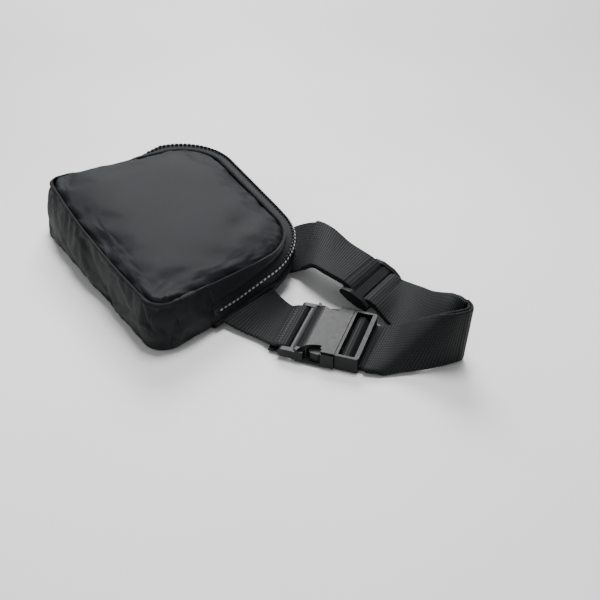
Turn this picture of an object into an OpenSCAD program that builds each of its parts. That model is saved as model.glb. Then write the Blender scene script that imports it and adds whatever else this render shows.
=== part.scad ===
// Belt bag lying on its back panel, zip closed, with its belt buckled and folded beside it.
// Row frame: origin at the middle of the back panel on the table, +X along the bag's width,
// +Y from the bottom edge to the zip edge, +Z up.

/* [Bag] */
// Width along the bottom seam of the front panel
bag_w = 156; // [150:1:160]
// Height from the bottom seam to the top seam of the front panel
bag_h = 108; // [104:1:112]
// Height of the front panel's seam above the table at its deepest corner
bag_depth = 38; // [36:1:40]
// How far the filled front panel rises over its own seam
crown = 6; // [2:0.5:8]
// How far the side walls bulge between their seams
wall_bulge = 4; // [1:0.5:5]
// Thickness of the padded front and back panels
panel_t = 2; // [1.5:0.1:2.5]
// Thickness of the gusset fabric
fabric_t = 1.2; // [0.8:0.1:1.4]

/* [Zip] */
// Distance from one tooth to the next in a row
tooth_pitch = 3; // [2.5:0.1:3.5]
// Width of tape that shows on each side of the teeth
tape_w = 5; // [4:0.5:5.5]
// Thickness of the moulded teeth
tooth_t = 2; // [1.5:0.1:2.4]
// Length of the pull tab
pull_len = 24; // [18:1:26]

/* [Webbing] */
// Width of the belt webbing
web_w = 38; // [36:0.5:38]
// Thickness of one layer of webbing
web_t = 1.6; // [1.2:0.1:1.7]

/* [Buckle] */
// Width of the buckle's flat top
buckle_w = 42; // [41:0.5:44]
// Thickness of the buckle
buckle_h = 10; // [9.6:0.1:10.4]
// Length of the covered part of the female half
female_len = 26; // [25:0.5:28]
// Length of the male half's frame
male_len = 13.5; // [13:0.5:15]
// Length of the two snap prongs
prong_len = 17; // [15:0.5:18]

/* [Adjuster] */
// Length of the adjuster's side rails
adjuster_len = 20; // [19:0.5:24]
// Width of the adjuster across its rails
adjuster_w = 46; // [45:0.5:48]

/* [Hidden] */
$fn = 32;

FABRIC = "#2b2d31";
BLACK = "#1c1d20";
WEBBING = "#25272b";
TEETH = "#c9ccd0";
PLASTIC = "#4a4e54";
GAP = 0.15;

// ---------- small vector helpers ----------
function unit(a) = a / norm(a);
function mix(a, b, t) = a * (1 - t) + b * t;
function polar(az, el) = [cos(el) * cos(az), cos(el) * sin(az), sin(el)];
function spline(a, b, c, d, t) =
    0.5 * (2 * b + (c - a) * t + (2 * a - 5 * b + 4 * c - d) * t * t
           + (3 * b - a - 3 * c + d) * t * t * t);
function smooth(list, steps) =
    let (n = len(list))
    [for (i = [0:n - 2]) for (j = [0:steps - 1])
        spline(list[max(i - 1, 0)], list[i], list[i + 1], list[min(i + 2, n - 1)], j / steps),
     list[n - 1]];

// ---------- outlines of the bag ----------
// Each corner is [centre, radius]: near bottom, near top, far top, far bottom.
sx = bag_w / 156;
sy = bag_h / 108;
SEAM = [[[68, -45], 9], [[28, 16], 35.5], [[-46, 25], 29], [[-69, -46], 8]];
BASE = [[[63, -43], 12], [[31, 14], 34], [[-46, 22], 28], [[-72, -48], 12]];
ARC = 8;     // spans in each corner
SIDE = 8;    // spans in each straight side
LAP = 4 * (ARC + SIDE);
HINGE_NEAR = 11;   // stations where the zip gusset and the flap begin
HINGE_FAR = 45;
ZIP_FAR = 47;      // station where the zip ends, short of the far bottom corner

function side_angle(corners, i) =
    let (a = corners[i % 4], b = corners[(i + 1) % 4], v = b[0] - a[0], u = unit(v),
         k = (a[1] - b[1]) / norm(v), w = [u.y, -u.x], n = k * u + sqrt(1 - k * k) * w)
    atan2(n.y, n.x);
function above(a, b) = a < b ? above(a + 360, b) : a;
function corner_angle(corners, c, t) =
    let (a0 = side_angle(corners, c + 3), a1 = above(side_angle(corners, c), a0))
    mix(a0, a1, t);
function on_corner(corners, c, t) =
    let (a = corner_angle(corners, c, t))
    corners[c % 4][0] + corners[c % 4][1] * [cos(a), sin(a)];
function outline(corners, i) =
    let (k = i % LAP, c = floor(k / (ARC + SIDE)), j = k - c * (ARC + SIDE),
         p = j <= ARC ? on_corner(corners, c, j / ARC)
                      : mix(on_corner(corners, c, 1), on_corner(corners, c + 1, 0),
                            (j - ARC) / SIDE))
    [p.x * sx, p.y * sy];
function outward(i) =
    let (k = i % LAP, c = floor(k / (ARC + SIDE)), j = k - c * (ARC + SIDE),
         a = corner_angle(SEAM, c, min(j / ARC, 1)))
    [cos(a), sin(a), 0];

// Height of the front seam: deepest at the far bottom corner, lowest at the near top one.
function seam_z(x, y) =
    let (u = (x / sx + 78) / 156, v = (y / sy + 55) / 108)
    bag_depth - mix(mix(0, 4, u), mix(4, 12, u), v);
// The back panel rises towards the zip edge, over the webbing that lies under it.
function base_z(y) = 0.05 * (y + 60 * sy);

function seam(i) =
    let (p = outline(SEAM, i), bow = p.y < -50 ? 3 * max(0, 1 - pow(p.x / 70, 2)) : 0)
    [p.x, p.y - bow, seam_z(p.x, p.y)];
function base(i) = let (p = outline(BASE, i)) [p.x, p.y, base_z(p.y)];

// ---------- cross-sections of the zip gusset ----------
// Each pair is [station, value]: how far the zip runs outside the front seam, how far above
// it, and how far the wall under it leans out.
ZIP_OUT = [[11, 3], [13, 3.5], [16, 4.5], [19, 6], [22, 7], [40, 7], [41.5, 6], [43, 3.6],
           [47, 3]];
ZIP_UP = [[11, -19], [13, -16.5], [16, -10], [19, -5.5], [22, -2], [25, 0], [36, 1],
          [40, 1.5], [41, -0.5], [42, -4.5], [43, -10], [45, -12.5], [47, -15]];
LEAN = [[11, 0.05], [16, 0.1], [22, 0.25], [40, 0.25], [43, 0.07], [47, 0.05]];
// How much of its bulge the bottom gusset keeps where it meets the ends of the zip gusset.
BULGE_SHARE = [[47, 0.35], [52, 1], [70, 1], [75, 0.65]];
HALF_GAP = 2.4;    // from the zip's centre line to the edge of each tape

UP = [0, 0, 1];
function zip_line(i) = seam(i) + outward(i) * lookup(i, ZIP_OUT) + UP * lookup(i, ZIP_UP);
function dir_low(i) = unit(outward(i) * lookup(i, LEAN) + UP);
function dir_up(i) = unit(seam(i) - zip_line(i));
function dir_mid(i) = unit(dir_low(i) + dir_up(i));
// Turns a direction in the cross-section a quarter turn, towards the inside of the bag.
function inward(i, d) = UP * (d * outward(i)) - outward(i) * d.z;
function upper_edge(i) =
    let (room = norm(seam(i) - zip_line(i)) - 0.6)
    zip_line(i) + dir_up(i) * min(HALF_GAP + tape_w, room);
function lower_edge(i) = zip_line(i) - dir_low(i) * (HALF_GAP + tape_w);

function wall_low(i, s) =
    mix(base(i), lower_edge(i), s) + outward(i) * wall_bulge * 2.4 * s * (1 - s);
function wall_full(i, s) =
    mix(base(i), seam(i), s)
    + outward(i) * wall_bulge * lookup(i, BULGE_SHARE) * 4 * s * (1 - s);

// A row of outer points at station i, and the matching inner ones.
function low_outer(i) = [for (s = [0, 0.35, 0.7, 1]) wall_low(i, s)];
function low_inner(i) = [for (p = low_outer(i)) p - outward(i) * fabric_t];
function tape_low_outer(i) = [lower_edge(i), zip_line(i) - dir_low(i) * HALF_GAP];
function tape_low_inner(i) =
    [for (p = tape_low_outer(i)) p - outward(i) * fabric_t];
function tape_up_outer(i) = [zip_line(i) + dir_up(i) * HALF_GAP, upper_edge(i)];
function tape_up_inner(i) =
    [for (p = tape_up_outer(i)) p + inward(i, dir_up(i)) * fabric_t];
function strip_up_outer(i) = [upper_edge(i), seam(i)];
function strip_up_inner(i) =
    [for (p = strip_up_outer(i)) p + inward(i, dir_up(i)) * fabric_t];
// Tape and strip in one, where the zip stays closed.
function closed_outer(i) = concat(tape_up_outer(i), [seam(i)]);
function closed_inner(i) =
    [for (p = closed_outer(i)) p + inward(i, dir_up(i)) * fabric_t];
function full_outer(i) = [for (s = [0, 0.25, 0.5, 0.75, 1]) wall_full(i, s)];
function full_inner(i) = [for (p = full_outer(i)) p - outward(i) * fabric_t];

// ---------- solids made of rows ----------
// Joins equal closed loops of points, one after the other, and caps both ends.
module tube(loops) {
    n = len(loops[0]);
    m = len(loops);
    points = [for (l = loops) each l];
    sides = [for (i = [0:m - 2]) for (j = [0:n - 1])
        let (a = i * n + j, b = i * n + (j + 1) % n)
        each [[a, b, a + n], [b, b + n, a + n]]];
    // each cap joins the outer row to the inner row, point by point
    h = n / 2;
    cap = [for (j = [0:h - 2]) each [[j, n - 1 - j, j + 1], [j + 1, n - 1 - j, n - 2 - j]]];
    first = cap;
    last = [for (f = cap) [for (k = [2:-1:0]) f[k] + (m - 1) * n]];
    polyhedron(points, concat(sides, first, last));
}
function loop(outer, inner) =
    concat(outer, [for (k = [len(inner) - 1:-1:0]) inner[k]]);

// A plate with a closed outline: upper and lower surfaces on the same plan.
// rings of shrinking outlines run from the edge to the middle.
module plate(edge, middle, thick, rise) {
    n = len(edge);
    rings = [1, 0.92, 0.75, 0.5, 0.25];
    r = len(rings);
    function top(p) = [p.x, p.y, seam_z(p.x, p.y) + rise * crown_at(p.x, p.y)];
    upper = [for (k = rings) for (p = edge) top(mix(middle, p, k))];
    all_upper = concat(upper, [top(middle)]);
    m = len(all_upper);
    points = concat(all_upper, [for (p = all_upper) p - UP * thick]);
    skin = concat(
        [for (k = [0:r - 2]) for (j = [0:n - 1])
            let (a = k * n + j, b = k * n + (j + 1) % n)
            each [[a, a + n, b], [b, a + n, b + n]]],
        [for (j = [0:n - 1]) [(r - 1) * n + j, m - 1, (r - 1) * n + (j + 1) % n]]);
    under = [for (f = skin) [f[2] + m, f[1] + m, f[0] + m]];
    rim = [for (j = [0:n - 1]) let (b = (j + 1) % n) each [[j, b, j + m], [b, b + m, j + m]]];
    polyhedron(points, concat(skin, under, rim));
}
function crown_at(x, y) =
    let (u = x / (78 * sx), v = (y + 1) / (55 * sy))
    crown * max(0, 1 - pow(u, 4)) * max(0, 1 - pow(v, 4));

// ---------- webbing ----------
// A station is [x, y, z, azimuth, elevation]: the centre of the webbing and the direction
// of its width, from the near edge to the far edge.
function as_vectors(s) = concat([s[0], s[1], s[2]], polar(s[3], s[4]));
function place(v) = [v[0], v[1], v[2]];
function across(v) = unit([v[3], v[4], v[5]]);
function web_loop(list, i, width, lift) =
    let (n = len(list), here = list[i],
         along = unit(place(list[min(i + 1, n - 1)]) - place(list[max(i - 1, 0)])),
         w = across(here), up = unit(cross(along, w)),
         c = place(here) + up * lift, a = w * width / 2, b = up * web_t / 2)
    [c - a + b, c + a + b, c + a - b, c - a - b];
module webbing(stations, lift = 0, steps = 3, width = web_w) {
    list = smooth([for (s = stations) as_vectors(s)], steps);
    tube([for (i = [0:len(list) - 1]) web_loop(list, i, width, lift)]);
}
LAYER = (web_t + GAP) / 2;   // each layer's distance from the middle of a doubled belt

// ---------- buckle frame ----------
BUCKLE_AT = [125.3, 37.4, 0.6];
BUCKLE_TURN = 38.5;
function bk(u, v, w) =
    BUCKLE_AT + [u * cos(BUCKLE_TURN) - v * sin(BUCKLE_TURN),
                 u * sin(BUCKLE_TURN) + v * cos(BUCKLE_TURN), w];
function bk_station(u, w) = concat(bk(u, 0, w), [BUCKLE_TURN + 90, 0]);
module at_buckle() { translate(BUCKLE_AT) rotate([0, 0, BUCKLE_TURN]) children(); }

BAR_U = -29.6;       // the female half's webbing bar
BAR_W = 4.2;
BAR_R = 1.2;
MALE_BAR_U = 5.6;    // the male half's webbing bar
MALE_BAR_W = 4.6;
MALE_BAR_R = 1.3;
OUT_W = 2.1;         // height where the doubled belt leaves under the male half's end bar

// ---------- adjuster frame ----------
ADJ_AT = [97, 76, 10.5];
ADJ_TURN = [24, -22, -8];   // heading, pitch, bank
module at_adjuster() {
    translate(ADJ_AT) rotate([0, 0, ADJ_TURN[0]]) rotate([0, -ADJ_TURN[1], 0])
        rotate([ADJ_TURN[2], 0, 0]) children();
}
ADJ_X = polar(ADJ_TURN[0], ADJ_TURN[1]);
ADJ_Y = [-sin(ADJ_TURN[0]), cos(ADJ_TURN[0]), 0] * cos(ADJ_TURN[2])
      + cross(ADJ_X, [-sin(ADJ_TURN[0]), cos(ADJ_TURN[0]), 0]) * sin(ADJ_TURN[2]);
ADJ_Z = cross(ADJ_X, ADJ_Y);
function adj(x, z) = ADJ_AT + ADJ_X * x + ADJ_Z * z;
function adj_station(x, z) =
    concat(adj(x, z), [atan2(ADJ_Y.y, ADJ_Y.x), asin(ADJ_Y.z)]);
WAVE_TOP = 1.9;      // middle of the doubled belt over the outer bars
WAVE_LOW = -1.6;     // and under the centre bar
OUTER_BAR = adjuster_len / 2 - 2;   // from the centre bar to each outer bar

// ---------- routes of the belt ----------
function arc_stations(cu, cw, r, angles) =
    [for (a = angles) bk_station(cu + r * cos(a), cw + r * sin(a))];
NEAR_ROUTE = concat(
    [[71.4, 6.6, 7, 99, 6], [78.3, 10.2, 4.4, 114, 3], [86.3, 13.6, 3.2, 124, 0]],
    [[94.6, 15.2, 4.1, 128.5, -1], bk_station(-33.5, 5.8)],
    arc_stations(BAR_U, BAR_W, BAR_R + GAP + web_t / 2, [90, 60, 30, 0, -30, -60, -90]),
    [bk_station(-34, 1.5), bk_station(-38.5, 1)]);
MALE_ROUTE = concat(
    [bk_station(14.6, OUT_W + LAYER), bk_station(11, OUT_W + LAYER), bk_station(9, 3.5)],
    arc_stations(MALE_BAR_U, MALE_BAR_W, MALE_BAR_R + GAP + web_t / 2,
                 [20, 55, 90, 125, 160, 200, 240, 270]),
    [bk_station(8, 1.7), bk_station(11, OUT_W - LAYER), bk_station(14.6, OUT_W - LAYER)]);
FRONT_ROUTE = [
    bk_station(15.2, OUT_W), bk_station(17, OUT_W + 0.2), [141.2, 48.2, 4.4, 123, 4],
    [148, 53.4, 7.4, 115, 14], [156.5, 56.5, 13.4, 98, 38], [164.6, 63, 18.4, 80, 64],
    [169.2, 71.6, 19.8, 50, 80], [171, 80, 19.8, -20, 84]];
FOLD_ROUTE = [
    [171, 80, 19.8, -20, 84], [171.2, 82.5, 19.8, -20, 84], [170.2, 84.6, 19.8, -20, 84],
    [168.4, 85.2, 19.8, 0, 86], [166.6, 84.4, 19.7, 60, 84], [165, 82.6, 19.4, 80, 80],
    [159.5, 80.3, 18.6, 96, 66], [148.5, 80.3, 13.4, 110, 38], [136, 82, 8.6, 115, 20],
    [124.5, 84, 6, 117, 9], [115.8, 83.2, 5.6, 118, 2], adj_station(14.6, WAVE_TOP)];
ARCH_ROUTE = [
    adj_station(-13.8, WAVE_TOP), [74, 68, 18.6, 122, -4], [60, 66, 19.6, 127, 6],
    [49, 64, 15.6, 131, 19], [38, 58.5, 9.4, 133, 21], [26, 48, 3.9, 134, 5],
    [15, 39, 3, 134, 0]];
UNDER_ROUTE = [
    [14.4, 38.5, 2.9, 134, 0], [4, 30, 1.4, 132, 0], [-12, 19.5, 1.1, 122, 0],
    [-32, 11.5, 1.1, 108, 0], [-52, 8, 1.1, 96, 0], [-74, 7, 1.1, 90, 0],
    [-84, 7, 1.1, 90, 0], [-86.6, 7, 1.6, 90, 0], [-87.6, 7, 2.7, 90, 0],
    [-86.6, 7, 3.8, 90, 0], [-84, 7, 4.3, 90, 0], [-80.6, 7, 4.6, 90, 0]];
WAVE_ROUTE = [
    adj_station(-12.6, WAVE_TOP), adj_station(-10.2, WAVE_TOP), adj_station(-8, WAVE_TOP),
    adj_station(-6.3, WAVE_TOP - 0.4), adj_station(-4.3, 0), adj_station(-2.6, WAVE_LOW + 0.2),
    adj_station(0, WAVE_LOW), adj_station(2.6, WAVE_LOW + 0.2), adj_station(4.3, 0),
    adj_station(6.3, WAVE_TOP - 0.4), adj_station(8, WAVE_TOP),
    adj_station(10.2, WAVE_TOP), adj_station(12.6, WAVE_TOP)];
TAIL_START = 3;      // the tail's hem lies at this station of the arch

// ---------- zip teeth ----------
function run_length(i0, i1) =
    i1 <= i0 ? 0 : norm(zip_line(i0 + 1) - zip_line(i0)) + run_length(i0 + 1, i1);
function station_at(i, s) =
    let (d = norm(zip_line(i + 1) - zip_line(i)))
    s <= d ? [i, s / d] : station_at(i + 1, s - d);
module tooth_frame(s) {
    where = station_at(HINGE_NEAR, s);
    i = where[0];
    p = mix(zip_line(i), zip_line(i + 1), where[1]);
    t = unit(zip_line(i + 1) - zip_line(i));
    d = mix(dir_mid(i), dir_mid(i + 1), where[1]);
    n = unit(cross(t, d));
    q = cross(n, t);
    multmatrix([[t.x, q.x, n.x, p.x], [t.y, q.y, n.y, p.y], [t.z, q.z, n.z, p.z], [0, 0, 0, 1]])
        children();
}
// side is 1 for the row on the flap and -1 for the row on the body
module teeth(side, from, to) {
    for (s = [from + (side > 0 ? tooth_pitch / 2 : 0):tooth_pitch:to])
        tooth_frame(s)
            translate([-tooth_pitch * 0.3, side > 0 ? 0.06 : -2.1, -tooth_t * 0.8])
                cube([tooth_pitch * 0.6, 2.04, tooth_t]);
}
ZIP_START = 4;
zip_total = run_length(HINGE_NEAR, ZIP_FAR);
zip_flap = run_length(HINGE_NEAR, HINGE_FAR);
SLIDER_AT = zip_total - 6;

// ---------- bag ----------
GUSSET_END = HINGE_NEAR + LAP - 0.06;   // just short of the flap
module back_panel() {
    color(FABRIC) {
        edge = [for (i = [0:LAP - 1])
            let (p = base(i) - outward(i) * (fabric_t + GAP)) [p.x, p.y]];
        n = len(edge);
        low = [for (p = concat(edge, [[0, 0]])) [p.x, p.y, base_z(p.y)]];
        points = concat(low, [for (p = low) p + UP * panel_t]);
        polyhedron(points, [for (i = [0:n - 1]) let (j = (i + 1) % n, m = n + 1)
            each [[n, i, j], [n + m, j + m, i + m], [i, i + m, j], [j, i + m, j + m]]]);
    }
}
module bottom_gusset() {
    color(FABRIC)
        tube([for (i = concat([for (i = [ZIP_FAR:HINGE_NEAR + LAP - 1]) i], [GUSSET_END]))
            loop(full_outer(i), full_inner(i))]);
}
module zip_strip_lower() {
    color(FABRIC)
        tube([for (i = [HINGE_NEAR:ZIP_FAR]) loop(low_outer(i), low_inner(i))]);
}
module zip_tape_lower() {
    color(BLACK)
        tube([for (i = [HINGE_NEAR:ZIP_FAR]) loop(tape_low_outer(i), tape_low_inner(i))]);
}
module zip_teeth_lower() {
    color(TEETH) teeth(-1, ZIP_START, zip_total - 8);
}
module zip_strip_upper() {
    color(FABRIC)
        tube([for (i = [HINGE_NEAR:HINGE_FAR]) loop(strip_up_outer(i), strip_up_inner(i))]);
}
module zip_tape_upper() {
    color(BLACK)
        tube([for (i = [HINGE_NEAR:HINGE_FAR]) loop(tape_up_outer(i), tape_up_inner(i))]);
}
module zip_teeth_upper() {
    color(TEETH) teeth(1, ZIP_START, zip_flap - 1);
}
module zip_closed_end() {
    color(BLACK)
        tube([for (i = [HINGE_FAR:ZIP_FAR]) loop(closed_outer(i), closed_inner(i))]);
    color(TEETH) teeth(1, zip_flap + 1, zip_total - 8);
}
function panel_edge(from, to) =
    [for (i = [from:to]) let (p = seam(i) - outward(i) * (fabric_t + GAP)) [p.x, p.y]];
function cut_line(a, b) = [for (k = [1:7]) mix(a, b, k / 8)];
module front_panel_lower() {
    edge = panel_edge(HINGE_FAR, HINGE_NEAR + LAP);
    color(FABRIC)
        plate(concat(edge, cut_line(edge[len(edge) - 1], edge[0])), [0, -38], panel_t, 1);
}
module front_panel_upper() {
    edge = panel_edge(HINGE_NEAR, HINGE_FAR);
    color(FABRIC)
        plate(concat(edge, cut_line(edge[len(edge) - 1], edge[0])), [-6, 16], panel_t, 1);
}
// Tape that binds the raw edges of the back seam, inside the bag.
module back_seam_binding() {
    function ring(i, d, h) =
        let (p = base(i) - outward(i) * d) [p.x, p.y, base_z(p.y) + panel_t + h];
    color(BLACK)
        tube([for (i = [0:LAP - 1])
            [ring(i, 1.6, 0.1), ring(i, 1.6, 2), ring(i, 2.8, 2), ring(i, 2.8, 0.1)]]);
}
module end_stop_near() {
    color(BLACK)
        tooth_frame(1.6) translate([-1.1, -2.1, -1.7]) cube([2.2, 4.2, 2.3]);
}

// ---------- slider ----------
SLIDER_LEN = 10;
SLIDER_W = 7.6;
PIVOT_H = 3.4;        // height of the pull's pivot over the middle of the teeth
module slider_frame() { tooth_frame(SLIDER_AT) children(); }
module zip_slider() {
    color(PLASTIC) slider_frame() difference() {
        union() {
            translate([-SLIDER_LEN / 2, -SLIDER_W / 2, 0.55])
                cube([SLIDER_LEN, SLIDER_W, 1]);
            translate([-SLIDER_LEN / 2, -SLIDER_W / 2, -2.9])
                cube([SLIDER_LEN, SLIDER_W, 1]);
            translate([2.6, -1, -2.9]) cube([2, 2, 4]);
            for (y = [-1.7, 1.7]) translate([-1.3, y - 0.5, 1.5])
                cube([2.6, 1, PIVOT_H - 0.3]);
        }
        translate([0, 0, PIVOT_H]) rotate([90, 0, 0])
            cylinder(r = 0.75, h = 9, center = true);
    }
}
module slider_bridge() {
    color(PLASTIC) slider_frame()
        translate([0, 0, PIVOT_H]) rotate([90, 0, 0])
            cylinder(r = 0.65, h = 6, center = true);
}
module pull_tab() {
    color(BLACK) slider_frame() translate([0, 0, PIVOT_H]) difference() {
        union() {
            rotate([90, 0, 0]) cylinder(r = 1.5, h = 2.1, center = true);
            translate([-4.9, -1.05, -0.9]) cube([4, 2.1, 1.8]);
            translate([3.5 - pull_len, -3, -0.8]) cube([pull_len - 8, 6, 1.6]);
            translate([3.5 - pull_len, 0, -0.8]) cylinder(r = 3, h = 1.6);
        }
        rotate([90, 0, 0]) cylinder(r = 0.72, h = 9, center = true);
        translate([3.5 - pull_len, 0, 0]) cylinder(r = 1.6, h = 6, center = true);
    }
}

// ---------- buckle ----------
RAMP_U = -female_len + 0.4;
THROAT = 18;          // half width of the female half's throat
module rounded_block(u0, u1, v, w0, w1, r) {
    translate([0, 0, w0]) linear_extrude(w1 - w0) union() {
        translate([u0, -v + r]) square([u1 - u0, 2 * (v - r)]);
        translate([u0 + r, -v]) square([u1 - u0 - 2 * r, 2 * v]);
        for (u = [u0 + r, u1 - r], s = [-1, 1]) translate([u, s * (v - r)]) circle(r);
    }
}
RAMP_TOP = -15.5;     // where the ramp meets the flat top
RAMP_H = 6.4;         // height of its low edge
NOTCH = [-20.5, -8.4, 5];   // start, end and depth of each thumb notch
function ease(t) = t * t * (3 - 2 * t);
module female_profile() {
    ramp = [for (k = [0:8]) let (t = k / 8)
        [mix(RAMP_TOP, RAMP_U, t), mix(buckle_h, RAMP_H, ease(t))]];
    polygon(concat([[RAMP_U, 1.2], [RAMP_U + 1.5, 0], [0, 0], [0, buckle_h]], ramp));
}
// s is 1 for the far side and -1 for the near one
module thumb_notch(s) {
    edge = buckle_w / 2;
    arc = [for (k = [0:10]) let (t = k / 10)
        [mix(NOTCH[0], NOTCH[1], t), edge - NOTCH[2] * pow(sin(90 * t), 0.8)]];
    scale([1, s, 1]) translate([0, 0, 7]) linear_extrude(5)
        polygon(concat([[NOTCH[0], edge + 2]], arc, [[NOTCH[1] + 0.3, edge + 2]]));
}
module buckle_female() {
    arm_v = buckle_w / 2;
    color(PLASTIC) at_buckle() difference() {
        union() {
            rotate([90, 0, 0]) linear_extrude(buckle_w, center = true) female_profile();
            for (s = [-1, 1]) translate([0, s * (arm_v - 0.2), 0]) {
                translate([BAR_U, 0, BAR_W]) rotate([90, 0, 0])
                    cylinder(r = 2.6, h = 3, center = true);
                translate([BAR_U, -1.5, BAR_W - 2.6]) cube([-BAR_U - 20, 3, 5.2]);
                translate([-22, -1.5, 0.4]) cube([22, 3, 8.2]);
            }
            translate([BAR_U, 0, BAR_W]) rotate([90, 0, 0])
                cylinder(r = BAR_R, h = buckle_w, center = true);
        }
        // throat for the prongs and their windows in both sides
        translate([-22, -THROAT, 2]) cube([30, 2 * THROAT, 5.6]);
        for (s = [-1, 1]) {
            translate([-17.5, s > 0 ? THROAT - 2 : -THROAT - 8, 2]) cube([10, 10, 5.6]);
            translate([-17.5, s > 0 ? THROAT + 0.6 : -THROAT - 8.6, 4]) cube([10, 8, 9]);
            thumb_notch(s);
        }
    }
}
module buckle_male() {
    half = buckle_w / 2;
    slot = web_w / 2 + 0.4;
    color(PLASTIC) at_buckle() {
        difference() {
            union() {
                rounded_block(0.2, male_len, half, 0, buckle_h - 0.4, 2);
                translate([0.2, -half, 0]) cube([4, 2 * half, buckle_h - 0.4]);
            }
            translate([1.8, -slot, -1]) cube([male_len - 4.3, 2 * slot, 20]);
            translate([1.8, -slot, -1]) cube([male_len, 2 * slot, 5.1]);
        }
        translate([MALE_BAR_U, 0, MALE_BAR_W]) rotate([90, 0, 0])
            cylinder(r = MALE_BAR_R, h = 2 * slot + 1, center = true);
        // guide tongue in the middle of the throat
        translate([-prong_len - 1, -3.5, 2.6]) cube([prong_len + 1.4, 7, 4.2]);
        translate([-prong_len - 1, 0, 2.6]) cylinder(r = 3.5, h = 4.2);
    }
}
// s is 1 for the far prong and -1 for the near one
module prong(s) {
    color(PLASTIC) at_buckle() scale([1, s, 1]) translate([0, 0, 2.3])
        linear_extrude(5.1)
            polygon([[-0.15, 11.5], [-0.15, 15], [-7.2, 16.9], [-8.3, 20.6], [-9.6, 21.2],
                     [-13.6, 20.6], [-prong_len, 15.5], [-prong_len + 1.5, 13.2], [-8, 13]]);
}
module prong_near() { prong(-1); }
module prong_far() { prong(1); }

// ---------- belt ----------
module near_strap() { color(WEBBING) webbing(NEAR_ROUTE, steps = 2); }
module male_webbing_outer() {
    color(WEBBING) webbing([for (k = [0:6]) MALE_ROUTE[k]], steps = 2);
}
module male_webbing_inner() {
    color(WEBBING) webbing([for (k = [6:len(MALE_ROUTE) - 1]) MALE_ROUTE[k]], steps = 2);
}
module front_webbing_outer() { color(WEBBING) webbing(FRONT_ROUTE, -LAYER); }
module front_webbing_inner() { color(WEBBING) webbing(FRONT_ROUTE, LAYER); }
module return_webbing_outer() { color(WEBBING) webbing(FOLD_ROUTE, -LAYER); }
module return_webbing_inner() { color(WEBBING) webbing(FOLD_ROUTE, LAYER); }
module adjuster_webbing_main() { color(WEBBING) webbing(WAVE_ROUTE, -LAYER, steps = 2); }
module adjuster_webbing_tail() { color(WEBBING) webbing(WAVE_ROUTE, LAYER, steps = 2); }
module arched_webbing_main() { color(WEBBING) webbing(ARCH_ROUTE, LAYER); }
module arched_webbing_tail() {
    color(WEBBING) webbing([for (k = [0:TAIL_START]) ARCH_ROUTE[k]], -LAYER);
}
module under_webbing() { color(WEBBING) webbing(UNDER_ROUTE); }

module adjuster() {
    half = adjuster_w / 2;
    inner = web_w / 2 + 0.5;
    color(PLASTIC) at_adjuster() difference() {
        union() {
            for (s = [-1, 1]) translate([0, s * (half + inner) / 2, -2.3]) {
                t = half - inner;
                hull() for (e = [-1, 1]) {
                    translate([e * (adjuster_len / 2 - 1.7), 0, 2.2])
                        rotate([90, 0, 0]) cylinder(r = 1.7, h = t, center = true);
                    translate([e * 3.5, 0, 2.4])
                        rotate([90, 0, 0]) cylinder(r = 2.9, h = t, center = true);
                }
            }
            for (e = [-1, 1]) translate([e * OUTER_BAR - 1.6, -inner - 1, -2.1])
                cube([3.2, 2 * inner + 2, 2]);
            translate([-2.8, -inner - 1, 0.4]) cube([5.6, 2 * inner + 2, 1.9]);
        }
    }
}

back_panel();
bottom_gusset();
zip_strip_lower();
zip_tape_lower();
zip_teeth_lower();
zip_strip_upper();
zip_tape_upper();
zip_teeth_upper();
zip_closed_end();
front_panel_lower();
front_panel_upper();
back_seam_binding();
end_stop_near();
zip_slider();
slider_bridge();
pull_tab();
near_strap();
buckle_female();
buckle_male();
prong_near();
prong_far();
male_webbing_outer();
male_webbing_inner();
front_webbing_outer();
front_webbing_inner();
return_webbing_outer();
return_webbing_inner();
adjuster();
adjuster_webbing_main();
adjuster_webbing_tail();
arched_webbing_main();
arched_webbing_tail();
under_webbing();
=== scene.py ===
"""A small nylon waist bag lying on its back, with its belt buckled and folded beside it.

Lengths are in millimetres in the row frame, and turned to metres where a mesh is made.
"""
import math

import bmesh
import bpy
import numpy as np
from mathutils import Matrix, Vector, noise


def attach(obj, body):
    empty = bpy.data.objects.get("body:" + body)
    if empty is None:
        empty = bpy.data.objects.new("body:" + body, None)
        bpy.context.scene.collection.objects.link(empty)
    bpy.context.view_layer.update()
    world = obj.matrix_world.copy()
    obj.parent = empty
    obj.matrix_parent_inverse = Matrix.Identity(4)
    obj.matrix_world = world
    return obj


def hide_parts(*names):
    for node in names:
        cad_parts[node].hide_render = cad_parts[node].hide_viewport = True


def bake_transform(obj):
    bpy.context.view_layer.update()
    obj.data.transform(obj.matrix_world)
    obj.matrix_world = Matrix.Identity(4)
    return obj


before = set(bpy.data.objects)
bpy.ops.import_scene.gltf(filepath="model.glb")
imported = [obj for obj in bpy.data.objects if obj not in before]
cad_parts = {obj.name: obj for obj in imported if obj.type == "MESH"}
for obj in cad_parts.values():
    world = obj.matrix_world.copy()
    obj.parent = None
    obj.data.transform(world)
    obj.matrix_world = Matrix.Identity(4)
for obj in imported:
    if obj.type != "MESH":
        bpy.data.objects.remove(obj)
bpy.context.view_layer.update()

MM = 0.001
UP = np.array([0.0, 0.0, 1.0])
RIB = 1.5       # distance from one row of the webbing's weft to the next


# ---------------------------------------------------------------- materials
def srgb(hex_code):
    """A linear colour from a hex code."""
    parts = [int(hex_code[i:i + 2], 16) / 255 for i in (0, 2, 4)]
    return [p / 12.92 if p <= 0.04045 else ((p + 0.055) / 1.055) ** 2.4 for p in parts] + [1]


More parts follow.
